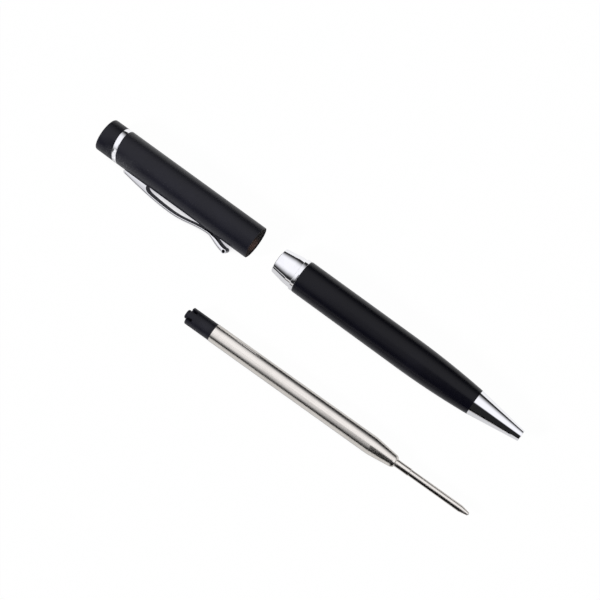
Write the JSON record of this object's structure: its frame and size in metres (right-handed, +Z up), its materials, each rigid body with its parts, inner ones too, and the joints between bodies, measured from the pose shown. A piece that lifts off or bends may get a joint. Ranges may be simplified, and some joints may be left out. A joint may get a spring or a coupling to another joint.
{
  "type": "twist pen",
  "caption": "Twist-action ballpoint pen taken apart: clipped upper barrel with its twist mechanism, tapered lower barrel with coupling and nose cone, and a metal refill lying beside them.",
  "frame": {"origin": "on the table, at the middle of the laid-out pen's outline", "axes": "+X along the pen's axis towards the writing end, +Z up from the table, the refill on the -Y side"},
  "size_m": [0.15, 0.0359, 0.0103],
  "materials": {
    "black_lacquer": "satin black lacquer",
    "black_lacquer_lower": "satin black lacquer, a little darker",
    "chrome": "polished",
    "brass": "turned",
    "steel": "bright",
    "nickel": "satin nickel plate with fine drawn lines",
    "black_plastic": "moulded",
    "acetal": "moulded",
    "rubber": "matt",
    "ink": "wet paste"
  },
  "bodies": {
    "lower_half": {"lower_barrel": "black_lacquer_lower", "coupling": "chrome", "centre_ring": "chrome", "nose_cone": "chrome", "return_spring": "steel"},
    "bush": {"twist_bush": "brass", "friction_ring": "rubber", "keeper_ring": "steel"},
    "upper_half": {"upper_barrel": "black_lacquer", "barrel_liner": "brass", "top_ring": "chrome", "cap": "black_lacquer", "top_insert": "brass", "cap_screw": "steel", "cam_tube": "acetal"},
    "clip": {"clip": "chrome"},
    "plunger": {"plunger": "acetal", "plunger_pin": "steel"},
    "refill": {"refill_tube": "nickel", "refill_plug": "black_plastic", "ink_column": "ink", "tip_holder": "nickel", "ball_socket": "nickel"},
    "ball": {"writing_ball": "steel"}
  },
  "joints": [
    {"name": "pull_off", "type": "slide", "parent": "lower_half", "child": "bush", "axis": [1, 0, 0], "range_m": [-0.1, 0.0153]},
    {"name": "twist", "type": "hinge", "parent": "bush", "child": "upper_half", "pos_m": [-0.01962, 0.0128, 0.00515], "axis": [1, 0, 0], "range_deg": [0, 180]},
    {"name": "plunger_travel", "type": "slide", "parent": "bush", "child": "plunger", "axis": [1, 0, 0], "range_m": [0, 0.00602]},
    {"name": "clip_flex", "type": "hinge", "parent": "upper_half", "child": "clip", "pos_m": [-0.06397, 0.0082, 0.00285], "axis": [0, 0.4475, -0.8943], "range_deg": [0, 3], "stiffness_Nm_per_rad": 0.3},
    {"name": "refill_lift", "type": "slide", "parent": "lower_half", "child": "refill", "axis": [0, 0, 1], "range_m": [0, 0.06]},
    {"name": "ball_roll", "type": "hinge", "parent": "refill", "child": "ball", "pos_m": [0.07462, -0.01355, 0.0028], "axis": [-0.0175, 0.9998, 0], "continuous": true}
  ],
  "couplings": [
    {"joint": "plunger_travel", "follows": "twist", "m_per_rad": 0.0019099}
  ]
}
